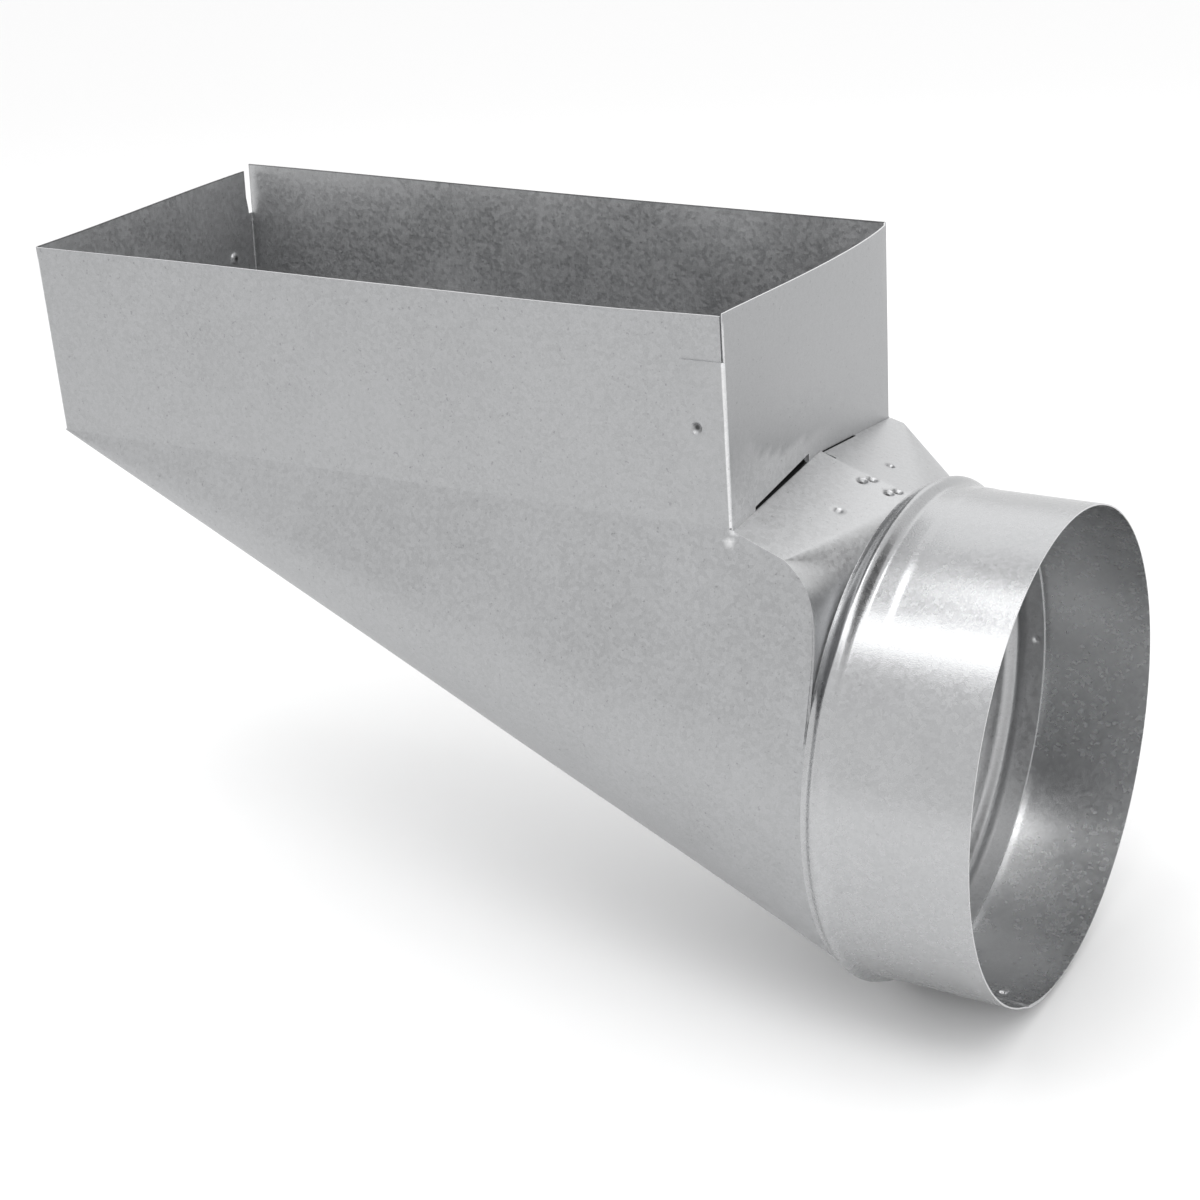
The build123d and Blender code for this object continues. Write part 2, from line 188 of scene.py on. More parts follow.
class Form:
    """Where the boot's faces, folds and laps are."""

    def __init__(self, body, collar):
        self.body, self.collar = body, collar
        self.right = body.opening_length / 2
        self.left = -self.right
        self.side = body.opening_width / 2
        self.crease = -body.wall_height
        self.collar_radius = collar.duct / 2 + body.sheet
        self.socket_radius = self.collar_radius + collar.swell
        self.neck_radius = self.socket_radius - body.sheet - collar.clearance
        self.ring_x = collar.start - collar.neck_lead
        self.neck_end = collar.start + collar.neck_length
        self.bead_x = collar.start + collar.bead_place

    def ring(self, turn, inset=0.0):
        radius = self.neck_radius - inset
        return self.round_point(radius, self.ring_x, turn)

    def round_point(self, radius, x, turn):
        return Vector((x, radius * math.cos(turn), self.collar.axis + radius * math.sin(turn)))

    def bead(self, x):
        """Height of the bead over the plain tube."""
        place = (x - self.bead_x) / self.collar.bead_width
        return self.collar.bead_height * math.cos(math.pi * place) ** 2 if abs(place) < 0.5 else 0.0

    def touch(self, first, second, low, high, inset):
        """Angle on the ring where the plane through two points just touches it."""
        def side(turn):
            point = self.ring(turn, inset)
            tangent = Vector((0, -math.sin(turn), math.cos(turn)))
            return (first - point).cross(second - point).dot(tangent)

        for _ in range(50):
            middle = (low + high) / 2
            if side(low) * side(middle) <= 0:
                high = middle
            else:
                low = middle
        return (low + high) / 2

    def corners(self, inset=0.0):
        """Corners of the transition on a skin laid below the outer one."""
        body, axis = self.body, self.collar.axis
        trough = (axis - self.neck_radius - self.crease) / (self.ring_x - self.left)
        across = body.saddle_crown / (body.saddle_lap + self.side)
        along = (axis + self.neck_radius - self.crease - body.saddle_crown) / (self.ring_x - self.right)
        saddle_shift = -along - math.sqrt(1 + across ** 2 + along ** 2)
        far_z = self.crease + (math.sqrt(1 + trough ** 2) + trough) * inset
        near_z = self.crease + (saddle_shift + across) * inset
        ridge_z = self.crease + body.saddle_crown + saddle_shift * inset
        left, right, side = self.left + inset, self.right - inset, self.side - inset
        return {
            "a": Vector((left, -side, far_z)),
            "b": Vector((left, side, far_z)),
            "c": Vector((right, side, near_z)),
            "d": Vector((right, -side, near_z)),
            "ridge": Vector((right, body.saddle_lap, ridge_z)),
            "step": Vector((right, body.saddle_lap, ridge_z - body.lap_step)),
        }

    def foot(self, y):
        """Height of the near end wall's foot, along the head of the saddle."""
        body = self.body
        run = self.side + body.saddle_lap if y <= body.saddle_lap else self.side - body.saddle_lap
        peak = body.saddle_crown if y <= body.saddle_lap else body.saddle_crown - body.lap_step
        return self.crease + peak * (1 - abs(y - body.saddle_lap) / run)

    def saddle(self, x, y):
        """A point on the saddle's outer skin and the way out of it."""
        def height(px, py):
            along = (px - self.right) / (self.ring_x - self.right)
            return self.foot(py) + (self.collar.axis + self.neck_radius - self.foot(py)) * along

        here = Vector((x, y, height(x, y)))
        along = Vector((x + MM, y, height(x + MM, y))) - here
        across = Vector((x, y + MM, height(x, y + MM))) - here
        return here, along.cross(across).normalized()


# Mesh of a sheet: columns of points side by side, with shared points joined

class SheetMesh:
    """An open sheet made of strips that face away from a place inside the boot."""

    def __init__(self, inner=None, *strips):
        self.mesh = bmesh.new()
        self.found = {}
        for columns in strips:
            self.add(columns)
        if strips:
            self.face_away_from(inner)

    def vertex(self, point):
        key = tuple(round(value / SAME_PLACE / 10) for value in point)
        if key not in self.found:
            self.found[key] = self.mesh.verts.new(point)
        return self.found[key]

    def add(self, columns):
        for left, right in zip(columns, columns[1:]):
            for row in range(len(left) - 1):
                points = (left[row], left[row + 1], right[row + 1], right[row])
                corners = list(dict.fromkeys(self.vertex(point) for point in points))
                if len(corners) > 2:
                    self.mesh.faces.new(corners)

    def face_away_from(self, inner):
        self.mesh.normal_update()
        total = sum(
            face.normal.dot(face.calc_center_median() - inner) * face.calc_area()
            for face in self.mesh.faces)
        if total < 0:
            bmesh.ops.reverse_faces(self.mesh, faces=self.mesh.faces[:])

    def near(self, centre, reach):
        return [face for face in self.mesh.faces if (face.calc_center_median() - centre).length < reach]

    def cut(self, geometry, point, out):
        """Split the faces along a plane and return all their parts."""
        result = bmesh.ops.bisect_plane(
            self.mesh, geom=geometry, plane_co=point, plane_no=out, dist=SAME_PLACE)
        return result["geom"]

    def carve(self, planes, centre, reach):
        """Cut away what lies behind every plane, near a place."""
        geometry = parts_of(self.near(centre, reach))
        for point, out in planes:
            geometry = self.cut(geometry, point, out)
        gone = [
            face for face in faces_in(geometry)
            if all((face.calc_center_median() - point).dot(out) < 0 for point, out in planes)]
        bmesh.ops.delete(self.mesh, geom=gone, context="FACES")

    def refine(self, centre, out, half, step):
        """Cut a fine grid into the sheet round a place, for a pressed mark."""
        first = out.orthogonal().normalized()
        ways = (first, out.cross(first).normalized())
        geometry = parts_of([
            face for face in self.near(centre, half + MARK_REACH)
            if abs((face.calc_center_median() - centre).dot(out)) < MARK_THROUGH
            and abs(face.normal.dot(out)) > MARK_FACING])
        if not geometry:
            raise RuntimeError("There is no sheet at the place of a pressed mark")
        for way in ways:
            for offset in (-half, half):
                geometry = self.cut(geometry, centre + way * offset, way)
        geometry = parts_of([
            face for face in faces_in(geometry)
            if all(abs((face.calc_center_median() - centre).dot(way)) < half for way in ways)])
        for way in ways:
            for offset in spread(-half, half, step)[1:-1]:
                geometry = self.cut(geometry, centre + way * offset, way)

    def take(self, other):
        """Add another sheet's mesh, joined where points are shared."""
        passing = bpy.data.meshes.new("passing")
        other.mesh.to_mesh(passing)
        self.mesh.from_mesh(passing)
        bpy.data.meshes.remove(passing)
        other.mesh.free()
        bmesh.ops.remove_doubles(self.mesh, verts=self.mesh.verts[:], dist=SAME_PLACE * 20)


def faces_in(geometry):
    return [part for part in geometry if isinstance(part, bmesh.types.BMFace)]


def parts_of(faces):
    """Faces with their edges and corners, as one list."""
    edges = dict.fromkeys(edge for face in faces for edge in face.edges)
    corners = dict.fromkeys(corner for face in faces for corner in face.verts)
    return [*corners, *edges, *faces]


def arc(centre, radius, start, end, count=6):
    """Points of an upright fold seen from above."""
    turns = [math.radians(start + (end - start) * index / count) for index in range(count + 1)]
    x, y = centre
    return [(x + radius * math.cos(turn), y + radius * math.sin(turn)) for turn in turns]


# The body's sheets

WALL_STEP = 3.2 * MM
FLANGE_STEP = 2 * MM
TAB_STEP = 3 * MM
WALL_ROWS = (
    0, 0.008, 0.03, 0.06, 0.1, 0.14, 0.18, 0.22, 0.26, 0.3, 0.34, 0.38, 0.42, 0.46, 0.54, 0.62, 0.7, 0.78,
    0.85, 0.92, 0.97, 0.992, 1)
SLOPE_ROWS = (
    0, 0.003, 0.01, 0.025, 0.05, 0.09, 0.14, 0.2, 0.26, 0.32, 0.38, 0.44, 0.5, 0.56, 0.62, 0.68, 0.74,
    0.8, 0.85, 0.9, 0.94, 0.97, 0.985, 0.995, 1)
RING_STEP = math.radians(3)
HIP_POINTS = 8
CREASE_STEPS = 22
CREASE_PULL = 2.0
CREASE_START = math.radians(118)
CREASE_END_GAP = 0.9 * MM
NECK_STEP = 0.6 * MM
WAVER_FADE = 7 * MM
WAVER_SEED = 5

# Small gaps that keep one sheet's edge off the next
HAIR = 0.01 * MM
OPEN_CORNER_GAP = 0.9 * MM
BACK_START = 0.51 * MM
UNDER_GAP = 0.04 * MM

# The rims' run: where the front rim dips, where the end bows most, how the free end tucks in
DIP_RUN = 0.8
DIP_RETURN = 0.35
DIP_RETURN_START = 0.85
DIP_RETURN_RUN = 0.15
FAR_RISE_SHARE = 0.98
BOW_PEAK = 0.64
END_TUCK = 0.0011
END_TUCK_ROW = 0.78

# How far a cut may reach into a sheet, and the profiles of the tabs as (out or back, rise) in mm
FLANGE_REACH = 60 * MM
CLIP_REACH = 12 * MM
SLOT_REACH = 40 * MM
HIDDEN_REACH = 70 * MM
RELIEF_LENGTH, RELIEF_WIDTH, RELIEF_REACH = 5 * MM, 0.9 * MM, 14 * MM
GAP_WIDTH, GAP_LENGTH, GAP_REACH = 0.7 * MM, 24 * MM, 22 * MM
SLOT_START_SHARE = 0.45
UNDER_LAP = 29 * MM
WALL_TAB_DEPTH, WALL_TAB_WIDTH = 22 * MM, 25 * MM
TAB_INSET = 3 * MM
TROUGH_TAB = ((0, 0), (0.35, 0.1), (0.5, 0.5), (0.5, 4), (0.5, 8), (0.5, 12))
SLOT_TAB = ((2.6, 5.5), (2.6, 2.5), (2.6, -0.6), (2.2, -1.3), (1.4, -1.5), (0.2, -1.5))

# Pressed marks: their places, and the field of fine mesh round each as a share of its width
CORNER_MARK = 10 * MM
FAR_MARK = 11.5 * MM
MARK_RISE, FAR_MARK_RISE, TAB_MARK_RISE = 30 * MM, 6 * MM, 6 * MM
TAB_MARKS = (0.25, 0.75)
SADDLE_MARKS = ((18.0, -22.0), (16.2, -2.2), (18.0, 1.2), (17, 17), (24.8, -2.0), (26.3, 1.2))
NECK_MARK_INSET = 2.6 * MM
SEAM_MARKS = (5.5 * MM, 11 * MM)
MARK_FIELD, NECK_MARK_FIELD = 0.85, 0.75
MARK_REACH = 8 * MM
MARK_THROUGH = 1.6 * MM
MARK_FACING = 0.6

# Painted highlight (partly forming wear) and painted shade
FRONT_SADDLE_SHEEN, BACK_SADDLE_SHEEN = 0.6, 0.4
SADDLE_SHEEN_FROM, SADDLE_SHEEN_RUN = 0.36, 0.25
FOOT_SHEEN_HEIGHT = 28 * MM
FOOT_SHEEN_END, FOOT_SHEEN_RUN = 20 * MM, 60 * MM
RIM_SHADE, MARK_SHADE = 0.7, 0.9


def ease(value):
    """A smooth step from 0 to 1."""
    value = min(max(value, 0.0), 1.0)
    return value * value * (3 - 2 * value)


def wall_columns(plan, top, shift):
    """Upright columns over a plan of (place, foot), sprung out of line by the shift."""
    columns = []
    for (x, y), foot in plan:
        head = Vector((x, y, top(x, y)))
        start = Vector((x, y, foot.z))
        column = [foot]
        for row in WALL_ROWS[1:]:
            point = start.lerp(head, row)
            column.append(point + shift(point, row))
        columns.append(column[::-1])
    return columns


def front_and_far_end(form):
    """Front panel and far end wall, one strip folded at the front-left corner."""
    body = form.body
    fold = body.fold
    corner = Vector((form.left, -form.side, form.crease))
    near_end = form.right - 2 * body.sheet
    plan = [((near_end, -form.side), Vector((form.right, -form.side, form.crease)))]
    for x in flat_places(near_end - fold, form.left + fold, WALL_STEP):
        plan.append(((x, -form.side), Vector((x, -form.side, form.crease))))
    for x, y in arc((form.left + fold, -form.side + fold), fold, 270, 180)[1:]:
        plan.append(((x, y), corner))
    free_end = form.side - body.sheet - OPEN_CORNER_GAP
    for y in flat_places(-form.side + fold + HAIR, free_end, WALL_STEP):
        plan.append(((form.left, y), Vector((form.left, y, form.crease))))
    plan[-1] = (plan[-1][0], Vector((form.left, form.side, form.crease)))

    def top(x, y):
        if x > form.left + fold:
            place = (x - form.left) / body.opening_length
            back = DIP_RETURN * ease((place - DIP_RETURN_START) / DIP_RETURN_RUN)
            return -body.front_dip * ease(place / DIP_RUN) * (1 - back)
        return body.far_end_rise * ease((y + form.side) / body.opening_width) * FAR_RISE_SHARE

    def shift(point, row):
        if point.x > form.left + fold:
            return Vector((0, 0, 0))
        along = max(0.0, (point.y + form.side) / body.opening_width)
        tuck = END_TUCK * (row > END_TUCK_ROW) * along ** 30
        return Vector((0, body.far_end_spring * row ** 2 * along ** 3 - tuck, 0))

    return plan, wall_columns(plan, top, shift)


def back_and_near_end(form):
    """Back panel and near end wall, one strip folded at the back-right corner, with its flanges."""
    body = form.body
    fold, sheet = body.fold, body.sheet
    corner = Vector((form.right, form.side, form.crease))
    outer_x, outer_y = form.left - sheet, -form.side - sheet

    def low(x, y):
        return Vector((x, y, form.crease))

    plan = []
    for y in flat_places(form.side - body.flange_width, form.side - fold - HAIR, FLANGE_STEP):
        plan.append(((outer_x, y), low(outer_x, y)))
    for x, y in arc((outer_x + fold, form.side - fold), fold, 180, 90):
        plan.append(((x, y), low(x, y)))
    for x in flat_places(form.left + BACK_START, form.right - fold, WALL_STEP):
        plan.append(((x, form.side), low(x, form.side)))
    for x, y in arc((form.right - fold, form.side - fold), fold, 90, 0)[1:]:
        plan.append(((x, y), corner))
    y_places = flat_places(form.side - fold - HAIR, body.saddle_lap, WALL_STEP)
    y_places += flat_places(body.saddle_lap, outer_y + fold, WALL_STEP)[1:]
    for y in y_places:
        plan.append(((form.right, y), Vector((form.right, y, form.foot(y)))))
    for x, y in arc((form.right - fold, outer_y + fold), fold, 0, -90)[1:]:
        plan.append(((x, y), low(x, y)))
    for x in flat_places(form.right - fold - HAIR, form.right - body.flange_width, FLANGE_STEP):
        plan.append(((x, outer_y), low(x, outer_y)))

    def top(x, y):
        if y < form.side - 3 * fold:
            return 0.0
        return body.back_rise * (form.right - x) / body.opening_length

    def shift(point, row):
        if point.y > form.side - 3 * fold or point.x < 0:
            along = max(0.0, (form.right - point.x) / body.opening_length)
            return Vector((0, body.back_spring * row ** 1.5 * ease(along) ** 2, 0))
        across = min(max((point.y + form.side) / body.opening_width, 0.0), 1.0)
        rest = 1 - BOW_PEAK
        bow = (across / BOW_PEAK) ** (2 * BOW_PEAK) * ((1 - across) / rest) ** (2 * rest)
        return Vector((body.end_bow * bow * row ** 1.4, 0, 0))

    return wall_columns(plan, top, shift)


def transition_columns(form, inset=0.0):
    """Columns from the foot of the walls to the ring, in named runs, going round the boot."""
    place = form.corners(inset)
    a, b, c, d, ridge, step = [place[name] for name in ("a", "b", "c", "d", "ridge", "step")]
    outward = math.atan2(d.z - form.collar.axis, d.y)
    front = form.touch(a, d, outward, outward + math.pi / 2, inset)
    back = math.pi - front
    top, bottom = math.pi / 2, 1.5 * math.pi
    saddle_front = top + math.atan2(ridge.z - d.z, ridge.y - d.y)
    saddle_back = top - math.atan2(step.z - c.z, c.y - step.y)

    def ring(turn):
        return form.ring(turn, inset)

    def hip(size, corner, wall_corner, wall_touch, saddle_corner, saddle_touch):
        wall = (wall_corner - corner).cross(ring(wall_touch) - corner)
        saddle = (saddle_corner - corner).cross(ring(saddle_touch) - corner)
        crease = wall.cross(saddle).normalized()
        return corner + crease * math.copysign(size, crease.x)

    front_hip = hip(form.body.front_hip, d, a, front, ridge, saddle_front)
    back_hip = hip(form.body.back_hip, c, b, back, step, saddle_back)

    # The front crease runs on from the hip in a curve that turns down beside the collar
    flat = (d - a).cross(ring(front) - a)
    turn_place = Vector((form.ring_x + CREASE_END_GAP, 0, front_hip.z - form.body.hip_drop))
    turn_place.y = a.y - (flat.x * (turn_place.x - a.x) + flat.z * (turn_place.z - a.z)) / flat.y
    curve = []
    for index in range(CREASE_STEPS + 1):
        part = index / CREASE_STEPS
        pulls = ((1 - part) ** 2, 2 * CREASE_PULL * part * (1 - part), part ** 2)
        point = front_hip * pulls[0] + turn_place * pulls[1] + ring(front) * pulls[2]
        curve.append(point / sum(pulls))

    def fan(points, turn):
        return [(point, ring(turn)) for point in points]

    def cone(apex, start, end):
        return [(apex, ring(turn)) for turn in spread(start, end, RING_STEP)]

    def line(start, end, count):
        return [start.lerp(end, index / count) for index in range(count + 1)]

    def crease_cone(start, end):
        """From the curved crease to the ring, so that the sheet turns in beside the collar."""
        turns = [start + (end - start) * index / CREASE_STEPS for index in range(CREASE_STEPS + 1)]
        return [(point, ring(turn)) for point, turn in zip(curve, turns)]

    def columns(pairs):
        return [[start.lerp(end, row) for row in SLOPE_ROWS] for start, end in pairs]

    front_line = [d.lerp(a, share) for share in form.front_shares]
    back_line = [b.lerp(c, share) for share in form.back_shares]
    left_line = [a.lerp(b, share) for share in form.left_shares]
    near_back = [c.lerp(step, share) for share in form.near_back_shares]
    near_front = [ridge.lerp(d, share) for share in form.near_front_shares]
    runs = {
        "saddle_front": (
            cone(ridge, top, saddle_front)
            + fan(near_front + line(d, front_hip, HIP_POINTS)[1:], saddle_front)),
        "trough": (
            cone(front_hip, saddle_front, CREASE_START) + crease_cone(CREASE_START, front)[1:]
            + fan(curve[::-1][1:] + line(front_hip, d, HIP_POINTS)[1:] + front_line[1:], front)
            + cone(a, front, bottom) + fan(left_line[1:], bottom) + cone(b, bottom, back + 2 * math.pi)
            + fan(back_line[1:] + line(c, back_hip, HIP_POINTS)[1:], back)
            + cone(back_hip, back, saddle_back)),
        "saddle_back": (
            fan(line(back_hip, c, HIP_POINTS)[1:] + near_back[1:], saddle_back)
            + cone(step, saddle_back, top)),
    }
    return {name: columns(pairs) for name, pairs in runs.items()}


def shares(places, start, end):
    """Places along an edge as shares of it, from 0 to 1."""
    return [(place - start) / (end - start) for place in places]


def neck_columns(form):
    """The neck, a round tube with the bead rolled into it."""
    runs = transition_columns(form)
    ends = [column[-1] for name in ("saddle_front", "trough", "saddle_back") for column in runs[name]]
    axis = form.collar.axis
    turns = [math.atan2(end.z - axis, end.y) for end in dict.fromkeys(end.freeze() for end in ends)]
    x_places = spread(form.ring_x, form.neck_end, NECK_STEP)
    columns = []
    for turn in turns + turns[:1]:
        columns.append([form.round_point(form.neck_radius + form.bead(x), x, turn) for x in x_places])
    return columns


def waver(point, size, run):
    """A slow waver of the flat sheet that fades out towards the sides of the CAD box."""
    room = min(min(point - cad_box[0]), min(cad_box[1] - point))
    return noise.noise_vector(point / run) * size * ease(room / WAVER_FADE)


def clinch_places(form):
    """Centre and way out of every pressed mark on the body."""
    body = form.body
    far_x, mark_z = form.left - body.sheet, form.crease + MARK_RISE
    places = [
        (Vector((form.right - CORNER_MARK, -form.side - body.sheet, mark_z)), -ACROSS),
        (Vector((far_x, form.side - FAR_MARK, mark_z + FAR_MARK_RISE)), -ALONG),
    ]
    low_y, high_y = TAB_INSET - form.side, form.side - body.flange_width - TAB_INSET
    for part in TAB_MARKS:
        centre = Vector((far_x, low_y + (high_y - low_y) * part, form.crease + TAB_MARK_RISE))
        places.append((centre, -ALONG))
    for x, y in SADDLE_MARKS:
        places.append(form.saddle(form.right + x * MM, y * MM))
    return places


def sheen_and_wear_at(form, point, normal):
    """Painted highlight, partly forming wear: lighter along the folds, over the up-facing saddle and at the
    end wall's foot.
    """
    body = form.body
    fold = body.fold
    folds = (
        (form.right - fold, -form.side - body.sheet + fold, 1, -1),
        (form.left + fold, -form.side + fold, -1, -1),
        (form.right - fold, form.side - fold, 1, 1))
    # Painted highlight along the three upright folds
    for x, y, way_x, way_y in folds:
        out_x, out_y = (point.x - x) * way_x / fold, (point.y - y) * way_y / fold
        if 0.2 < out_x < 1.5 and 0.2 < out_y < 1.5 and point.z < -0.3 * body.flange_notch:
            return 1.0
    # Painted highlight over the saddle, lighter where it faces up
    if form.right + 0.2 * MM < point.x < form.ring_x + 0.3 * MM and point.z > form.collar.axis:
        saddle_sheen = FRONT_SADDLE_SHEEN if point.y < body.saddle_lap else BACK_SADDLE_SHEEN
        return saddle_sheen * ease((normal.z - SADDLE_SHEEN_FROM) / SADDLE_SHEEN_RUN)
    # Painted highlight, lighter towards the near end wall's foot
    if point.x > form.right - 0.2 * MM and normal.x > 0.6 and point.z < 0:
        low = ease(1 - (point.z - form.foot(point.y)) / FOOT_SHEEN_HEIGHT)
        return low * ease((FOOT_SHEEN_END - point.y) / FOOT_SHEEN_RUN)
    return 0.0


def painted_shade_at(form, point, marks, radius):
    """Painted shade: dark in the pressed marks, behind the slot, along the lap, at the head of the saddle's
    back half and along the far rims.
    """
    body = form.body
    past_wall, past_lap = point.x - form.right, point.y - body.saddle_lap
    # Painted shadow in the pocket behind the slot
    pocket = (
        -3 * MM < past_wall < -0.8 * MM
        and body.slot_start - 3 * MM < point.y < body.slot_end + 3 * MM
        and abs(point.z - form.foot(point.y)) < 6 * MM)
    # Painted shadow under the lap's edge and in the gap at the head of the saddle's back half
    seam = (
        -1 * MM < past_wall < 5.5 * MM and abs(past_lap) < 1.5 * MM
        or -1 * MM < past_wall < 1.2 * MM and -1 * MM < past_lap < 26 * MM)
    if seam and 0.3 * MM < form.saddle(point.x, point.y)[0].z - point.z < 8 * MM:
        return 1.0
    # Painted shade in the pressed marks
    nearest = min((point - mark).length for mark in marks)
    back_top = body.back_rise * (form.right - point.x) / body.opening_length
    far_top = body.far_end_rise * (point.y + form.side) / body.opening_width
    # Painted shade along the top of the far rims
    far_rim = (
        point.y > form.side - 0.5 * MM and point.z > back_top - 0.2 * MM
        or point.x < form.left + 0.1 * MM and point.z > far_top - 0.2 * MM)
    return max(float(pocket), RIM_SHADE * float(far_rim), MARK_SHADE * ease(1.5 - 2 * nearest / radius))


def paint_masks(piece, sheen_and_wear, painted_shade):
    """Keep the painted highlight (partly wear) and the painted shade as attributes of its points."""
    for name, values in (("sheen_and_wear", sheen_and_wear), ("painted_shade", painted_shade)):
        layer = piece.data.attributes.new(name, "FLOAT", "POINT")
        layer.data.foreach_set("value", values)


def linked(name, data):
    """A new object in the scene, at the origin."""
    piece = bpy.data.objects.new(name, data)
    bpy.context.scene.collection.objects.link(piece)
    return piece


def object_from(mesh, name):
    data = bpy.data.meshes.new(name)
    mesh.to_mesh(data)
    mesh.free()
    return linked(name, data)


def share_out_feet(form, plan):
    """Keep where the walls' columns stand along each foot, so that the trough's columns meet them."""
    body, side = form.body, form.side
    feet = list(dict.fromkeys(foot.copy().freeze() for _, foot in plan))
    front = [foot.x for foot in feet if foot.y == feet[0].y]
    left = [foot.y for foot in feet if foot.x == feet[-1].x]
    back = [form.left, *flat_places(form.left + BACK_START, form.right - body.fold, WALL_STEP), form.right]
    near_back = [side, *flat_places(side - body.fold - HAIR, body.saddle_lap, WALL_STEP)]
    near_front = [*flat_places(body.saddle_lap, -side - body.sheet + body.fold, WALL_STEP), -side]
    form.front_shares = shares(front, form.right, form.left)
    form.left_shares = shares(left, -side, side)
    form.back_shares = shares(back, form.left, form.right)
    form.near_back_shares = shares(near_back, side, body.saddle_lap)
    form.near_front_shares = shares(near_front, body.saddle_lap, -side)


def trim_ends(form, ends):
    """Cut the notches and clipped corners of the flanges, and the slot over the front of the saddle."""
    body = form.body
    high, low = -body.flange_notch, form.crease + 1 * MM
    near_flange = Vector((form.right - body.flange_width / 2, -form.side - body.sheet, form.crease / 2))
    far_flange = Vector((form.left - body.sheet, form.side - body.flange_width / 2, form.crease / 2))
    for centre, edge, out, free in (
            (near_flange, -ACROSS * form.side, ACROSS, -ALONG),
            (far_flange, ALONG * form.left, ALONG, -ACROSS)):
        ends.carve([(edge, out), (UP * high, -UP)], centre, FLANGE_REACH)
        ends.carve([(edge, out), (UP * low, UP)], centre, FLANGE_REACH)
        tip = centre + free * body.flange_width / 2
        for height, way in ((high, -UP), (low, UP)):
            corner = Vector((tip.x, tip.y, height)) + way * body.flange_clip
            ends.carve([(edge, out), (corner, (way - free).normalized())], corner, CLIP_REACH)

    start_z = form.foot(body.slot_start) + body.slot_rise * SLOT_START_SHARE
    start = Vector((form.right, body.slot_start, start_z))
    end = Vector((form.right, body.slot_end, form.foot(body.slot_end) + body.slot_rise))
    slope = (end - start).cross(-ALONG).normalized()
    if slope.z < 0:
        slope.negate()
    ends.carve([(start, slope), (start, -ACROSS), (end, ACROSS)], (start + end) / 2, SLOT_REACH)


def trough_sheet(form):
    """Transition and neck, with the relief cut beside the lap and the gap at the back half's head."""
    runs = transition_columns(form)
    trough = SheetMesh(
        Vector((20 * MM, 0, form.collar.axis + 40 * MM)),
        runs["saddle_front"] + runs["trough"] + runs["saddle_back"], neck_columns(form))
    lap = form.body.saddle_lap
    relief = Vector((form.right + RELIEF_LENGTH, lap, form.foot(lap)))
    gap = Vector((form.right + GAP_WIDTH, lap, relief.z))
    trough.carve(
        [(relief, ALONG), (relief + ACROSS * RELIEF_WIDTH, ACROSS), (relief, -ACROSS)],
        relief, RELIEF_REACH)
    trough.carve(
        [(gap, ALONG), (gap + ACROSS * GAP_LENGTH, ACROSS), (gap, -ACROSS)],
        gap + ACROSS * GAP_LENGTH / 2, GAP_REACH)
    return trough


def hidden_sheets(form, middle):
    """The lap under the saddle, and the tabs at the feet of the end walls."""
    body = form.body
    lap = body.saddle_lap
    hidden = transition_columns(form, body.sheet + UNDER_GAP)
    inner = Vector((form.right, 0, form.collar.axis))
    relief = Vector((form.right + RELIEF_LENGTH, lap, form.foot(lap)))
    under = SheetMesh(inner, hidden["saddle_front"])
    wall_tab = SheetMesh(inner, hidden["saddle_back"])
    for sheet, place, out in (
            (under, ACROSS * (lap - UNDER_LAP), ACROSS),
            (under, ALONG * (form.right + 1 * MM), ALONG),
            (under, ALONG * (form.ring_x - 1 * MM), -ALONG),
            (wall_tab, ALONG * (form.right + WALL_TAB_DEPTH), -ALONG),
            (wall_tab, ACROSS * (lap + 1 * MM), ACROSS),
            (wall_tab, ACROSS * (lap + WALL_TAB_WIDTH), -ACROSS)):
        sheet.carve([(place, out)], relief, HIDDEN_REACH)
    trough_tab = SheetMesh(middle, [
        [Vector((form.left - out * MM, y, form.crease + rise * MM)) for out, rise in TROUGH_TAB]
        for y in spread(TAB_INSET - form.side, form.side - body.flange_width - TAB_INSET, TAB_STEP)])
    slot_tab = SheetMesh(Vector((form.right - 20 * MM, body.slot_start / 2, form.crease - 20 * MM)), [
        [Vector((form.right - back * MM, y, form.foot(y) + rise * MM)) for back, rise in SLOT_TAB]
        for y in spread(body.slot_start - 2 * MM, body.slot_end + 2 * MM, TAB_STEP)])
    return under, wall_tab, trough_tab, slot_tab


def body_surface(form, clinch):
    """Every sheet of the body as one open surface with its masks, and the place of the neck's mark."""
    body = form.body
    plan, front_strip = front_and_far_end(form)
    back_strip = back_and_near_end(form)
    share_out_feet(form, plan)
    middle = Vector((0, 0, form.crease / 2))
    walls = SheetMesh(middle, front_strip)
    ends = SheetMesh(middle, back_strip)
    trim_ends(form, ends)
    for other in (ends, trough_sheet(form), *hidden_sheets(form, middle)):
        walls.take(other)
    walls.mesh.normal_update()
    places = clinch_places(form)
    for centre, out in places:
        walls.refine(centre, out, clinch.diameter * MARK_FIELD, clinch.mesh_size)
    neck_mark = form.round_point(form.neck_radius, form.neck_end - NECK_MARK_INSET, 0)
    walls.refine(neck_mark, ACROSS, clinch.neck_diameter * NECK_MARK_FIELD, clinch.mesh_size)
    walls.mesh.normal_update()
    marks = [centre for centre, _ in places]
    # Painted highlight (partly wear) and painted shade, kept for each point
    sheen_and_wear = [sheen_and_wear_at(form, corner.co, corner.normal) for corner in walls.mesh.verts]
    painted_shade = [painted_shade_at(form, corner.co, marks, clinch.diameter / 2) for corner in walls.mesh.verts]
    for corner in walls.mesh.verts:
        corner.co += waver(corner.co, body.waver, body.waver_run)
    surface = object_from(walls.mesh, "body_surface")
    paint_masks(surface, sheen_and_wear, painted_shade)
    return surface, marks, neck_mark


# Geometry Nodes

DISH_SHARE = 0.16
SWELL_RUN = 2 * MM
LAP_RAMP = math.radians(2.5)
LAP_GAP = 0.05 * MM
COLLAR_COLUMNS, COLLAR_ROWS = 220, 86
SMOOTH_ANGLE = math.radians(32)


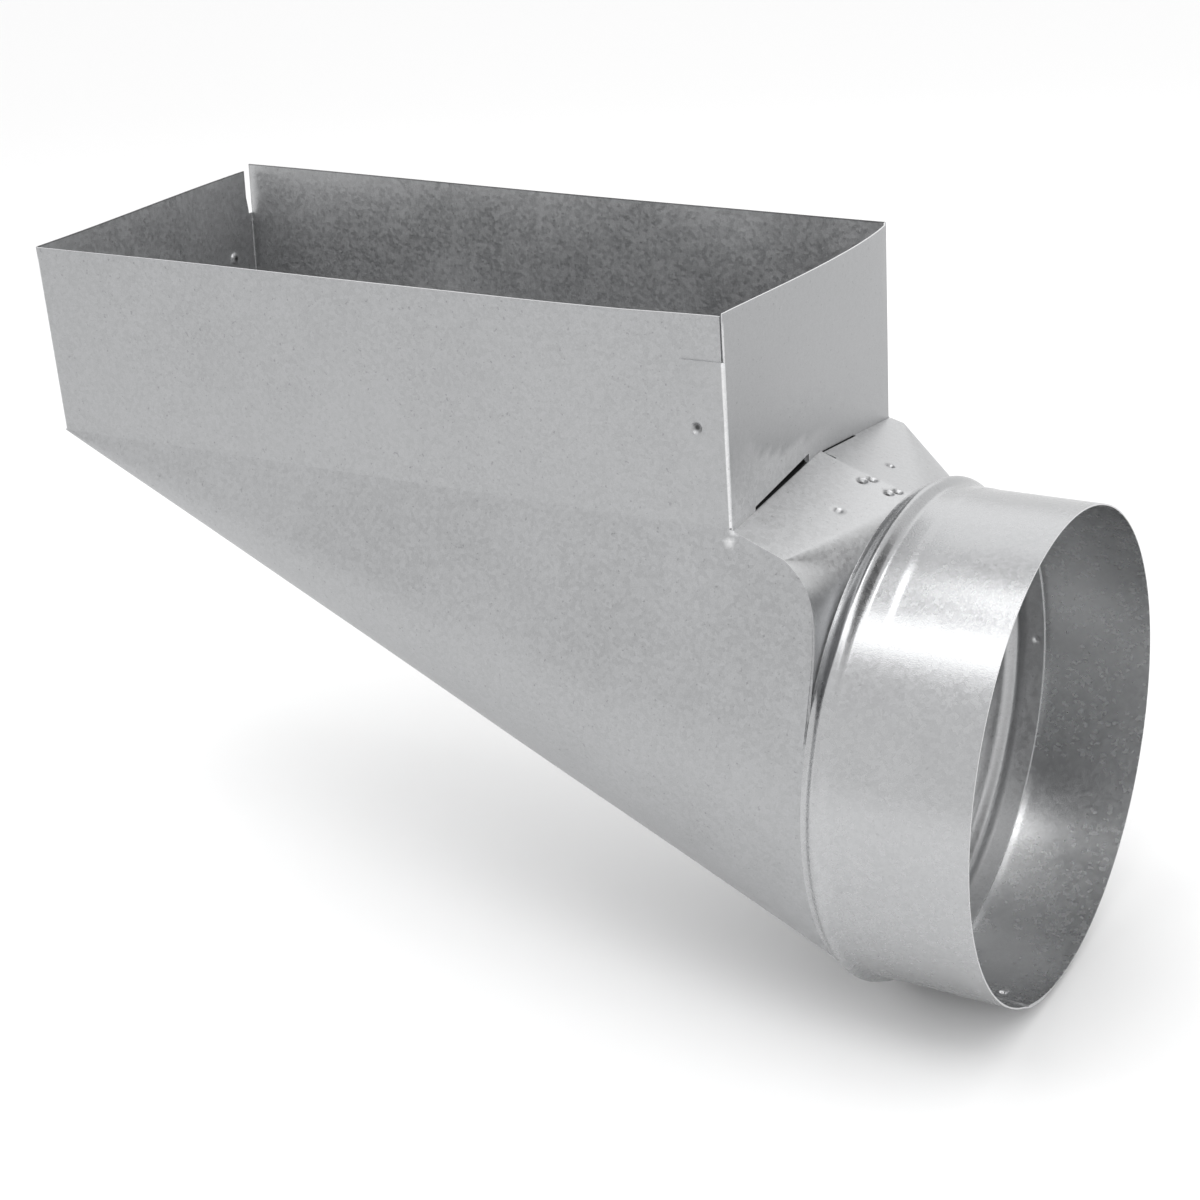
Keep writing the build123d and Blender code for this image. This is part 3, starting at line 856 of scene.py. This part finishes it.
class Field:
    """A value in a node tree that plain arithmetic extends with Math nodes."""

    def __init__(self, tree, socket):
        self.tree, self.socket = tree, socket

    def math(self, operation, *others, clamp=False):
        node = self.tree.nodes.new("ShaderNodeMath")
        node.operation = operation
        node.use_clamp = clamp
        for index, value in enumerate((self, *others)):
            if isinstance(value, Field):
                self.tree.links.new(value.socket, node.inputs[index])
            else:
                node.inputs[index].default_value = value
        return Field(self.tree, node.outputs[0])

    def __add__(self, other):
        return self.math("ADD", other)

    def __sub__(self, other):
        return self.math("SUBTRACT", other)

    def __mul__(self, other):
        return self.math("MULTIPLY", other)

    def __truediv__(self, other):
        return self.math("DIVIDE", other)


def add_node(tree, kind, links=None, **settings):
    """A node with its settings, and its inputs filled from sockets, fields or values."""
    node = tree.nodes.new(kind)
    for name, value in settings.items():
        setattr(node, name, value)
    for name, value in (links or {}).items():
        socket = node.inputs[name]
        if isinstance(value, Field):
            value = value.socket
        if isinstance(value, bpy.types.NodeSocket):
            tree.links.new(value, socket)
        else:
            socket.default_value = value
    return node


def tree_with(name, inputs):
    """A Geometry Nodes tree with a Geometry input and output and the inputs named."""
    tree = bpy.data.node_groups.new(name, "GeometryNodeTree")
    tree.interface.new_socket("Geometry", in_out="INPUT", socket_type="NodeSocketGeometry")
    for label, kind in inputs:
        tree.interface.new_socket(label, in_out="INPUT", socket_type=kind)
    tree.interface.new_socket("Geometry", in_out="OUTPUT", socket_type="NodeSocketGeometry")
    return tree, tree.nodes.new("NodeGroupInput")


def finish_tree(tree, source, geometry):
    """End a tree in Realize Instances and Set Material."""
    realize = add_node(tree, "GeometryNodeRealizeInstances", {"Geometry": geometry})
    dressed = add_node(
        tree, "GeometryNodeSetMaterial",
        {"Geometry": realize.outputs["Geometry"], "Material": source.outputs["Material"]})
    add_node(tree, "NodeGroupOutput", {"Geometry": dressed.outputs["Geometry"]})
    return tree


def ramp(tree, value, low, high, start, end, kind="LINEAR"):
    """A value carried from one range to another and held at its ends."""
    node = add_node(tree, "ShaderNodeMapRange", {
        "Value": value, "From Min": low, "From Max": high, "To Min": start, "To Max": end},
        interpolation_type=kind)
    return Field(tree, node.outputs["Result"])


def clinch_tree():
    """Presses a round mark into the sheet at every point of another object."""
    tree, source = tree_with("Press clinches", [
        ("Places", "NodeSocketObject"), ("Diameter", "NodeSocketFloat"), ("Depth", "NodeSocketFloat"),
        ("Material", "NodeSocketMaterial")])
    places = add_node(tree, "GeometryNodeObjectInfo", {"Object": source.outputs["Places"]})
    near = add_node(
        tree, "GeometryNodeProximity", {"Geometry": places.outputs["Geometry"]}, target_element="POINTS")
    distance = near.outputs["Distance"]
    radius = Field(tree, source.outputs["Diameter"]) / 2
    pit = ramp(tree, distance, radius * 0.5, radius * 1.0, 1.0, 0.0, "SMOOTHSTEP")
    dish = ramp(tree, distance, radius * 0.8, radius * 1.6, DISH_SHARE, 0.0, "SMOOTHSTEP")
    amount = pit * (1 - DISH_SHARE) + dish
    sunk = amount * Field(tree, source.outputs["Depth"]) * -1
    facing = add_node(tree, "GeometryNodeInputNormal")
    offset = add_node(
        tree, "ShaderNodeVectorMath", {0: facing.outputs["Normal"], "Scale": sunk}, operation="SCALE")
    moved = add_node(
        tree, "GeometryNodeSetPosition",
        {"Geometry": source.outputs["Geometry"], "Offset": offset.outputs["Vector"]})
    return finish_tree(tree, source, moved.outputs["Geometry"])


def collar_tree():
    """Rolls a strip into the beaded collar, with its outer end lapped over its start."""
    names = (
        "Start", "End", "Axis", "Radius", "Swell", "Neck End", "Bead Height", "Bead Width", "Bead Place",
        "Seam Angle", "Lap Angle", "Sheet")
    tree, source = tree_with("Beaded collar", [(name, "NodeSocketFloat") for name in names] + [
        ("Columns", "NodeSocketInt"), ("Rows", "NodeSocketInt"), ("Material", "NodeSocketMaterial")])
    value = {name: Field(tree, source.outputs[name]) for name in names}
    strip = add_node(
        tree, "GeometryNodeMeshGrid",
        {"Size X": 1.0, "Size Y": 1.0, "Vertices X": source.outputs["Columns"],
         "Vertices Y": source.outputs["Rows"]})
    place = add_node(tree, "ShaderNodeSeparateXYZ", {
        "Vector": add_node(tree, "GeometryNodeInputPosition").outputs["Position"]})
    round_share = Field(tree, place.outputs["X"]) + 0.5
    along_share = Field(tree, place.outputs["Y"]) + 0.5
    x = value["Start"] + (value["End"] - value["Start"]) * along_share
    turn = value["Seam Angle"] - value["Lap Angle"] / 2 + (value["Lap Angle"] + 2 * math.pi) * round_share
    from_bead = (x - value["Bead Place"]) / value["Bead Width"]
    inside = from_bead.math("ABSOLUTE").math("LESS_THAN", 0.5)
    wave = (from_bead * math.pi).math("COSINE").math("POWER", 2)
    bead = value["Bead Height"] * wave * inside
    past_neck = ((x - value["Neck End"]) / SWELL_RUN).math("SUBTRACT", 0.0, clamp=True)
    swell = value["Swell"] * (past_neck * -1 + 1)
    past_seam = turn - value["Seam Angle"] + value["Lap Angle"] / 2 - 2 * math.pi
    over_seam = past_seam / LAP_RAMP + 1
    lap = (value["Sheet"] + LAP_GAP) * over_seam.math("SUBTRACT", 0.0, clamp=True)
    radius = value["Radius"] + bead + swell + lap
    position = add_node(tree, "ShaderNodeCombineXYZ", {
        "X": x, "Y": radius * turn.math("COSINE"), "Z": value["Axis"] + radius * turn.math("SINE")})
    rolled = add_node(
        tree, "GeometryNodeSetPosition",
        {"Geometry": strip.outputs["Mesh"], "Position": position.outputs["Vector"]})
    return finish_tree(tree, source, rolled.outputs["Geometry"])


def set_inputs(modifier, values):
    """Set a modifier's inputs by the identifiers of their sockets."""
    for item in modifier.node_group.interface.items_tree:
        if item.item_type == "SOCKET" and item.in_out == "INPUT" and item.name in values:
            modifier[item.identifier] = values[item.name]


def add_nodes(piece, tree, values):
    modifier = piece.modifiers.new(tree.name, "NODES")
    modifier.node_group = tree
    set_inputs(modifier, values)


def discard(*pieces):
    for piece in pieces:
        data = piece.data
        bpy.data.objects.remove(piece)
        bpy.data.meshes.remove(data)


def plain(piece, name):
    """The piece as its modifiers leave it, as a plain mesh under a new name."""
    bpy.context.view_layer.update()
    graph = bpy.context.evaluated_depsgraph_get()
    data = bpy.data.meshes.new_from_object(piece.evaluated_get(graph), depsgraph=graph)
    data.name = name
    made = linked(name, data)
    discard(piece)
    return made


def points_object(points, name):
    data = bpy.data.meshes.new(name)
    data.from_pydata(points, [], [])
    return linked(name, data)


def make_sheet_metal(surface, name, sheet, zinc, edge, marks):
    """Press the marks, each (points, width, depth), and thicken the surface inwards into sheet metal."""
    tree = bpy.data.node_groups.get("Press clinches") or clinch_tree()
    places = [points_object(points, "mark_places") for points, _, _ in marks]
    for place, (_, diameter, depth) in zip(places, marks):
        add_nodes(surface, tree, {
            "Places": place, "Diameter": diameter, "Depth": depth, "Material": zinc})
    piece = plain(surface, "pressed_sheet")
    discard(*places)
    piece.data.materials.clear()
    piece.data.materials.append(zinc)
    piece.data.materials.append(edge)
    outer_count = len(piece.data.vertices)
    solid = piece.modifiers.new("Sheet", "SOLIDIFY")
    solid.thickness = sheet
    solid.offset = -1
    solid.use_even_offset = False
    solid.use_rim = True
    solid.material_offset_rim = 1
    made = plain(piece, name)
    made.data.shade_smooth()
    made.data.set_sharp_from_angle(angle=SMOOTH_ANGLE)
    # Marks the inner skin, which the materials paint lighter as painted light
    inside = made.data.attributes.new("inside", "FLOAT", "POINT")
    inside.data.foreach_set(
        "value", [float(index >= outer_count) for index in range(len(made.data.vertices))])
    return made


# Finishes

CLOUD_SCALE, SPECK_SCALE = 28.0, 900.0
SPECK_FROM, SPECK_FULL = 0.70, 0.76
BUMP_HEIGHT = 0.06 * MM


def new_sockets(tree, way, kind, names):
    for name in names:
        tree.interface.new_socket(name, in_out=way, socket_type=kind)


def cleared_tree(owner):
    owner.use_nodes = True
    owner.node_tree.nodes.clear()
    return owner.node_tree


def zinc_group():
    """Galvanised zinc: spangles, fine grain, specks and clouds, as colour, roughness and height, with a
    lighter inner colour as painted light, and painted highlight and painted shade mixed into the colour.
    """
    group = bpy.data.node_groups.new("Galvanised zinc", "ShaderNodeTree")
    new_sockets(group, "INPUT", "NodeSocketColor", ("Colour", "Painted Light Inner Colour", "Sheen And Wear Colour", "Painted Shade Colour"))
    new_sockets(group, "INPUT", "NodeSocketFloat", (
        "Inside", "Sheen_And_Wear", "Painted_Shade", "Roughness", "Spangle Scale", "Grain Scale", "Mottle"))
    new_sockets(group, "OUTPUT", "NodeSocketColor", ("Colour",))
    new_sockets(group, "OUTPUT", "NodeSocketFloat", ("Roughness", "Height"))
    source = group.nodes.new("NodeGroupInput")
    place = add_node(group, "ShaderNodeTexCoord").outputs["Object"]

    def noise_of(scale, detail, roughness):
        node = add_node(group, "ShaderNodeTexNoise", {
            "Vector": place, "Scale": scale, "Detail": detail, "Roughness": roughness})
        return Field(group, node.outputs["Fac"])

    def mixed(share, first, second, blend="MIX"):
        node = add_node(
            group, "ShaderNodeMix", {0: share, 6: first, 7: second}, data_type="RGBA", blend_type=blend)
        return node.outputs[2]

    spangle = add_node(group, "ShaderNodeTexVoronoi", {
        "Vector": place, "Scale": source.outputs["Spangle Scale"], "Randomness": 1.0})
    tone = add_node(group, "ShaderNodeSeparateColor", {"Color": spangle.outputs["Color"]})
    grain = noise_of(source.outputs["Grain Scale"], 3.0, 0.6)
    cloud = noise_of(CLOUD_SCALE, 4.0, 0.55)
    specks = ramp(group, noise_of(SPECK_SCALE, 1.0, 0.5), SPECK_FROM, SPECK_FULL, 0.0, 1.0)
    facet = Field(group, tone.outputs[0]) - 0.5
    shift = facet * 0.5 + (grain - 0.5) * 1.2 + (cloud - 0.5) * 0.7 - specks * 0.7
    value = shift * Field(group, source.outputs["Mottle"]) + 1
    shade = add_node(group, "ShaderNodeCombineColor", {0: value, 1: value, 2: value})
    base = source.outputs["Colour"]
    # The inner side takes a lighter colour as painted light; the sheen mask adds painted highlight, partly
    # forming wear
    for mask, colour_name in (("Inside", "Painted Light Inner Colour"), ("Sheen_And_Wear", "Sheen And Wear Colour")):
        base = mixed(source.outputs[mask], base, source.outputs[colour_name])
    tint = mixed(1.0, base, shade.outputs["Color"], "MULTIPLY")
    # Painted shade darkens the marks, the gaps and the far rims
    shaded = mixed(source.outputs["Painted_Shade"], tint, source.outputs["Painted Shade Colour"])
    rough = Field(group, source.outputs["Roughness"]) * (facet * 0.3 + (cloud - 0.5) * 0.5 + 1)
    height = grain * 0.8 + Field(group, spangle.outputs["Distance"]) * 0.2
    add_node(group, "NodeGroupOutput", {"Colour": shaded, "Roughness": rough, "Height": height})
    return group


def zinc_material(name, group, tone, inner, roughness, finish, mottle, bump):
    """Zinc-coated sheet steel, with a lighter tone inside as painted light, and masks for the painted
    highlight (partly wear) and the painted shade.
    """
    material = bpy.data.materials.new(name)
    tree = cleared_tree(material)
    zinc = add_node(tree, "ShaderNodeGroup", node_tree=group)
    for label, value in {
            "Colour": tone, "Painted Light Inner Colour": inner, "Sheen And Wear Colour": finish.sheen_and_wear, "Painted Shade Colour": finish.painted_shade,
            "Roughness": roughness, "Spangle Scale": 1 / finish.spangle, "Grain Scale": 1 / finish.grain,
            "Mottle": mottle}.items():
        zinc.inputs[label].default_value = value
    for mask in ("Inside", "Sheen_And_Wear", "Painted_Shade"):
        layer = add_node(
            tree, "ShaderNodeAttribute", attribute_name=mask.lower(), attribute_type="GEOMETRY")
        tree.links.new(layer.outputs["Fac"], zinc.inputs[mask])
    bumps = add_node(
        tree, "ShaderNodeBump", {"Height": zinc.outputs["Height"], "Strength": bump, "Distance": BUMP_HEIGHT})
    surface = add_node(tree, "ShaderNodeBsdfPrincipled", {
        "Base Color": zinc.outputs["Colour"], "Roughness": zinc.outputs["Roughness"],
        "Normal": bumps.outputs["Normal"], "Metallic": 1.0})
    add_node(tree, "ShaderNodeOutputMaterial", {"Surface": surface.outputs["BSDF"]})
    return material


def finish_materials(context):
    """The three finishes, made once."""
    finish = context.scene.boot_finish
    group = bpy.data.node_groups.get("Galvanised zinc") or zinc_group()
    # Outer tone, inner tone (lighter, as painted light), roughness, mottle and bump of each
    wanted = {
        "Body zinc": (finish.body, finish.body_inner_painted_light, finish.body_roughness, 0.30, 0.45),
        "Collar zinc": (finish.collar, finish.collar_inner_painted_light, finish.collar_roughness, 0.16, 0.6),
        "Cut steel edge": (finish.edge, finish.edge, finish.edge_roughness, 0.12, 0.3),
    }
    return {
        name: bpy.data.materials.get(name) or zinc_material(
            name, group, tone, inner, rough, finish, mottle, bump)
        for name, (tone, inner, rough, mottle, bump) in wanted.items()}


# Operators

class BOOT_OT_body(bpy.types.Operator):
    """Build the folded body: walls, trough, saddle and neck"""
    bl_idname = "boot.body"
    bl_label = "Folded Body"

    def execute(self, context):
        scene = context.scene
        form = Form(scene.boot_body, scene.boot_collar)
        noise.seed_set(WAVER_SEED)
        clinch = scene.boot_clinch
        materials = finish_materials(context)
        surface, marks, neck_mark = body_surface(form, clinch)
        body = make_sheet_metal(
            surface, "folded_body", form.body.sheet, materials["Body zinc"], materials["Cut steel edge"],
            [(marks, clinch.diameter, clinch.depth),
             ([neck_mark], clinch.neck_diameter, -clinch.neck_depth)])
        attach(body, "root")
        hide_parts("boot_body")
        return {"FINISHED"}


class BOOT_OT_collar(bpy.types.Operator):
    """Roll the beaded round collar with its lapped and clinched seam"""
    bl_idname = "boot.collar"
    bl_label = "Round Collar"

    def execute(self, context):
        scene = context.scene
        form = Form(scene.boot_body, scene.boot_collar)
        noise.seed_set(WAVER_SEED)
        collar, clinch, seam = scene.boot_collar, scene.boot_clinch, scene.boot_collar.seam_angle
        materials = finish_materials(context)
        strip = points_object([], "collar_strip")
        add_nodes(strip, bpy.data.node_groups.get("Beaded collar") or collar_tree(), {
            "Start": collar.start, "End": collar.end, "Axis": collar.axis, "Radius": form.collar_radius,
            "Swell": collar.swell, "Neck End": form.neck_end, "Bead Height": collar.bead_height,
            "Bead Width": collar.bead_width, "Bead Place": form.bead_x, "Seam Angle": seam,
            "Lap Angle": collar.seam_width / form.collar_radius, "Sheet": form.body.sheet,
            "Columns": COLLAR_COLUMNS, "Rows": COLLAR_ROWS, "Material": materials["Collar zinc"]})
        rolled = plain(strip, "rolled_collar")
        sheet = SheetMesh()
        sheet.mesh.from_mesh(rolled.data)
        sheet.face_away_from(Vector(((collar.start + collar.end) / 2, 0, collar.axis)))
        discard(rolled)
        outward = Vector((0, math.cos(seam), math.sin(seam)))
        marks = [
            form.round_point(form.collar_radius + form.body.sheet, x, seam)
            for x in (form.neck_end + SEAM_MARKS[0], collar.end - SEAM_MARKS[1])]
        neck_mark = form.round_point(form.socket_radius, form.neck_end - NECK_MARK_INSET, 0)
        for centre in marks:
            sheet.refine(centre, outward, clinch.diameter * MARK_FIELD, clinch.mesh_size)
        sheet.refine(neck_mark, ACROSS, clinch.neck_diameter * MARK_FIELD, clinch.mesh_size)
        for corner in sheet.mesh.verts:
            corner.co += waver(corner.co, form.body.waver, form.body.waver_run)
        made = make_sheet_metal(
            object_from(sheet.mesh, "collar_surface"), "beaded_collar", form.body.sheet,
            materials["Collar zinc"], materials["Cut steel edge"],
            [(marks, clinch.diameter, -clinch.depth),
             ([neck_mark], clinch.neck_diameter, -clinch.neck_depth)])
        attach(made, "root")
        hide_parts("round_collar")
        return {"FINISHED"}


# Stage

FLOOR_GAP, FLOOR_REACH = 0.3 * MM, 6.0
FLOOR_TONE, CARD_TONE = 0.96, 0.12
LAMPS = (
    ("key_strip", (0.28, -0.42, 0.78), (0.28, -0.02, -0.10), 1.6, 0.32, 3.0),
    ("back_box", (-0.20, 0.80, 0.62), (0.14, 0.0, -0.06), 1.1, 0.8, 1.1),
    ("top_box", (0.04, -0.10, 0.95), (0.08, -0.08, -0.10), 0.52, 0.25, 1.3))
CARD_CORNERS = ((1.15, -0.25, 0.10), (1.15, 0.65, 0.10), (0.95, 0.65, 1.15), (0.95, -0.25, 1.15))
CAMERA_PLACE = (0.4121, -0.5629, 0.1648)
CAMERA_FORWARD = (-0.4993, 0.7730, -0.3914)
CAMERA_UP = (-0.1511, 0.3671, 0.9178)
CAMERA_LENS, CAMERA_SENSOR = 65.67, 36


def plate(name, corners, tone, roughness, specular):
    """One flat face with its own matt material, for the stage."""
    material = bpy.data.materials.new(name)
    tree = cleared_tree(material)
    surface = add_node(tree, "ShaderNodeBsdfPrincipled", {
        "Base Color": (tone, tone, tone, 1), "Roughness": roughness, "Specular IOR Level": specular})
    add_node(tree, "ShaderNodeOutputMaterial", {"Surface": surface.outputs["BSDF"]})
    data = bpy.data.meshes.new(name)
    data.from_pydata(corners, [], [(0, 1, 2, 3)])
    data.materials.append(material)
    return linked(name, data)


class BOOT_OT_stage(bpy.types.Operator):
    """Set the floor, the studio light and the camera"""
    bl_idname = "boot.stage"
    bl_label = "Studio Stage"

    def execute(self, context):
        scene = context.scene
        z = cad_box[0].z - FLOOR_GAP
        corners = [(x * FLOOR_REACH, y * FLOOR_REACH, z) for x, y in ((-1, -1), (1, -1), (1, 1), (-1, 1))]
        plate("studio_floor", corners, FLOOR_TONE, 0.9, 0.2)

        world = bpy.data.worlds.new("White studio")
        tree = cleared_tree(world)
        sky = add_node(tree, "ShaderNodeBackground", {"Color": (1, 1, 1, 1), "Strength": 1.0})
        add_node(tree, "ShaderNodeOutputWorld", {"Surface": sky.outputs["Background"]})
        scene.world = world

        for name, place, aim, width, depth, power in LAMPS:
            lamp = bpy.data.lights.new(name, "AREA")
            lamp.shape = "RECTANGLE"
            lamp.size, lamp.size_y = width, depth
            lamp.energy = power
            holder = linked(name, lamp)
            holder.location = place
            holder.rotation_euler = (Vector(aim) - Vector(place)).to_track_quat("-Z", "Y").to_euler()

        # A grey card beyond the collar gives the bead and the hip something darker to mirror
        card = plate("grey_card", CARD_CORNERS, CARD_TONE, 1.0, 0.5)
        card.visible_camera = False
        card.visible_shadow = False
        card.visible_diffuse = False

        lens = bpy.data.cameras.new("photo_camera")
        lens.sensor_width = CAMERA_SENSOR
        lens.lens = CAMERA_LENS
        lens.clip_start, lens.clip_end = 0.01, 50
        camera = linked("photo_camera", lens)
        forward = Vector(CAMERA_FORWARD).normalized()
        right = forward.cross(Vector(CAMERA_UP)).normalized()
        turned = Matrix((right, right.cross(forward), -forward)).transposed().to_4x4()
        camera.matrix_world = Matrix.Translation(CAMERA_PLACE) @ turned
        scene.camera = camera
        scene.view_settings.view_transform = "Standard"
        return {"FINISHED"}


class BOOT_PT_panel(bpy.types.Panel):
    """Sizes, finish and building steps of the register boot"""
    bl_idname = "BOOT_PT_panel"
    bl_label = "Register Boot"
    bl_space_type = "VIEW_3D"
    bl_region_type = "UI"
    bl_category = "Register Boot"

    def draw(self, context):
        layout = self.layout
        scene = context.scene
        for key in GROUPS:
            group, box = getattr(scene, key), layout.box()
            for name in group.__annotations__:
                box.prop(group, name)
        for operator in (BOOT_OT_body, BOOT_OT_collar, BOOT_OT_stage):
            layout.operator(operator.bl_idname)


GROUPS = {
    "boot_body": BodySizes, "boot_collar": CollarSizes, "boot_clinch": ClinchSizes, "boot_finish": ZincFinish}
CLASSES = (*GROUPS.values(), BOOT_OT_body, BOOT_OT_collar, BOOT_OT_stage, BOOT_PT_panel)


def register():
    for part in CLASSES:
        bpy.utils.register_class(part)
    for name, group in GROUPS.items():
        setattr(bpy.types.Scene, name, bpy.props.PointerProperty(type=group))


def unregister():
    for name in GROUPS:
        delattr(bpy.types.Scene, name)
    for part in reversed(CLASSES):
        bpy.utils.unregister_class(part)


def main():
    register()
    bpy.ops.boot.body()
    bpy.ops.boot.collar()
    bpy.ops.boot.stage()


if __name__ == "__main__":
    main()
